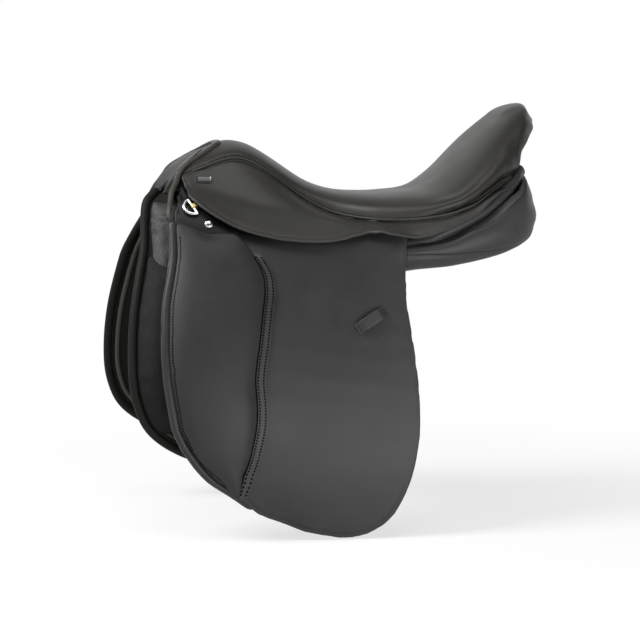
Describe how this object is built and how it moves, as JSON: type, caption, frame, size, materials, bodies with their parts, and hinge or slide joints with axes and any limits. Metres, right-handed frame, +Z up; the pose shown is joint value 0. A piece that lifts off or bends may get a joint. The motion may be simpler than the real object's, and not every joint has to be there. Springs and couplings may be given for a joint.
{
  "type": "dressage saddle",
  "caption": "Black leather dressage saddle with a deep seat, long straight flaps, knee pads, flocked panels, girth straps under the flaps, stirrup bars and dee rings on a spring tree.",
  "frame": {"origin": "on the mid-plane below the seat's lowest point, at the height where the panels bear on the horse's back", "axes": "+X to the horse's head, +Y to the near (left) side, +Z up"},
  "size_m": [0.5438, 0.3844, 0.5303],
  "materials": {
    "flap_leather": "smooth black bridle leather",
    "skirt_leather": "smooth black leather",
    "seat_leather": "soft black leather with a low sheen",
    "pad_leather": "fine-grained black leather",
    "grain_leather": "grained black leather",
    "panel_leather": "soft black panel leather",
    "strap_leather": "black strap leather",
    "piping_leather": "black piping with worn highlights",
    "foam": "seat foam",
    "webbing": "woven web",
    "beech": "laminated beech",
    "steel": "plain steel",
    "chrome": "polished",
    "brass": "polished staple"
  },
  "bodies": {
    "saddle": {"seat_cover": "seat_leather", "seat_foam": "foam", "seat_welt_near": "seat_leather", "seat_welt_off": "seat_leather", "seat_webs": "webbing", "cross_webs": "webbing", "tree_frame": "beech", "tree_head": "beech", "head_plate": "steel", "gullet_plate": "steel", "tree_springs": "steel", "tree_rivets": "steel", "cantle_back": "seat_leather", "pommel_facing": "seat_leather", "head_piping": "piping_leather", "skirt_root_near": "skirt_leather", "skirt_root_off": "skirt_leather", "name_plates": "chrome", "flap_root_near": "flap_leather", "flap_root_off": "flap_leather", "sweat_flap_near": "flap_leather", "sweat_flap_off": "flap_leather", "sweat_piping": "piping_leather", "knee_block_near": "grain_leather", "knee_block_off": "grain_leather", "point_pocket_near": "grain_leather", "point_pocket_off": "grain_leather", "girth_webs": "webbing", "panel_near": "panel_leather", "panel_off": "panel_leather", "panel_gusset_near": "panel_leather", "panel_gusset_off": "panel_leather", "panel_roll": "panel_leather", "stirrup_bar_near": "steel", "stirrup_bar_off": "steel", "dee_chapes": "brass", "saddle_nails": "chrome"},
    "flap_body_near": {"flap_near": "flap_leather", "knee_pad_foam_near": "foam", "knee_pad_cover_near": "pad_leather", "pad_strip_near": "flap_leather", "flap_piping_near": "piping_leather", "keeper_near": "flap_leather"},
    "skirt_body_near": {"skirt_near": "skirt_leather"},
    "front_strap_near": {"girth_strap_front_near": "strap_leather"},
    "rear_strap_near": {"girth_strap_rear_near": "strap_leather"},
    "dee_near": {"dee_ring_near": "chrome"},
    "catch_near": {"bar_catch_near": "steel"},
    "flap_body_off": {"flap_off": "flap_leather", "knee_pad_foam_off": "foam", "knee_pad_cover_off": "pad_leather", "pad_strip_off": "flap_leather", "flap_piping_off": "piping_leather", "keeper_off": "flap_leather"},
    "skirt_body_off": {"skirt_off": "skirt_leather"},
    "front_strap_off": {"girth_strap_front_off": "strap_leather"},
    "rear_strap_off": {"girth_strap_rear_off": "strap_leather"},
    "dee_off": {"dee_ring_off": "chrome"},
    "catch_off": {"bar_catch_off": "steel"}
  },
  "joints": [
    {"name": "flap_lift_near", "type": "hinge", "parent": "saddle", "child": "flap_body_near", "pos_m": [0.1165, 0.13087, 0.03919], "axis": [0.9745, -0.129, 0.1834], "range_deg": [0, 80]},
    {"name": "skirt_lift_near", "type": "hinge", "parent": "saddle", "child": "skirt_body_near", "pos_m": [0.1295, 0.1045, 0.085], "axis": [0.9582, -0.1953, 0.2089], "range_deg": [0, 70]},
    {"name": "front_strap_swing_near", "type": "hinge", "parent": "saddle", "child": "front_strap_near", "pos_m": [0.098, 0.12126, 0.04171], "axis": [0, 0.9684, 0.2495], "range_deg": [-4, 4]},
    {"name": "rear_strap_swing_near", "type": "hinge", "parent": "saddle", "child": "rear_strap_near", "pos_m": [0.046, 0.12843, 0.03192], "axis": [0, 0.9735, 0.2286], "range_deg": [-4, 4]},
    {"name": "dee_swing_near", "type": "hinge", "parent": "saddle", "child": "dee_near", "pos_m": [0.23002, 0.10468, 0.08441], "axis": [0.4334, -0.5755, 0.6935], "range_deg": [0, 75]},
    {"name": "catch_flip_near", "type": "hinge", "parent": "saddle", "child": "catch_near", "pos_m": [0.1275, 0.07579, 0.07987], "axis": [0, 0.8815, 0.4722], "range_deg": [0, 65]},
    {"name": "flap_lift_off", "type": "hinge", "parent": "saddle", "child": "flap_body_off", "pos_m": [0.1165, -0.13087, 0.03919], "axis": [-0.9745, -0.129, -0.1834], "range_deg": [0, 80]},
    {"name": "skirt_lift_off", "type": "hinge", "parent": "saddle", "child": "skirt_body_off", "pos_m": [0.1295, -0.1045, 0.085], "axis": [-0.9582, -0.1953, -0.2089], "range_deg": [0, 70]},
    {"name": "front_strap_swing_off", "type": "hinge", "parent": "saddle", "child": "front_strap_off", "pos_m": [0.098, -0.12126, 0.04171], "axis": [0, 0.9684, -0.2495], "range_deg": [-4, 4]},
    {"name": "rear_strap_swing_off", "type": "hinge", "parent": "saddle", "child": "rear_strap_off", "pos_m": [0.046, -0.12843, 0.03192], "axis": [0, 0.9735, -0.2286], "range_deg": [-4, 4]},
    {"name": "dee_swing_off", "type": "hinge", "parent": "saddle", "child": "dee_off", "pos_m": [0.23002, -0.10468, 0.08441], "axis": [-0.4334, -0.5755, -0.6935], "range_deg": [0, 75]},
    {"name": "catch_flip_off", "type": "hinge", "parent": "saddle", "child": "catch_off", "pos_m": [0.1275, -0.07579, 0.07987], "axis": [0, 0.8815, -0.4722], "range_deg": [0, 65]}
  ]
}
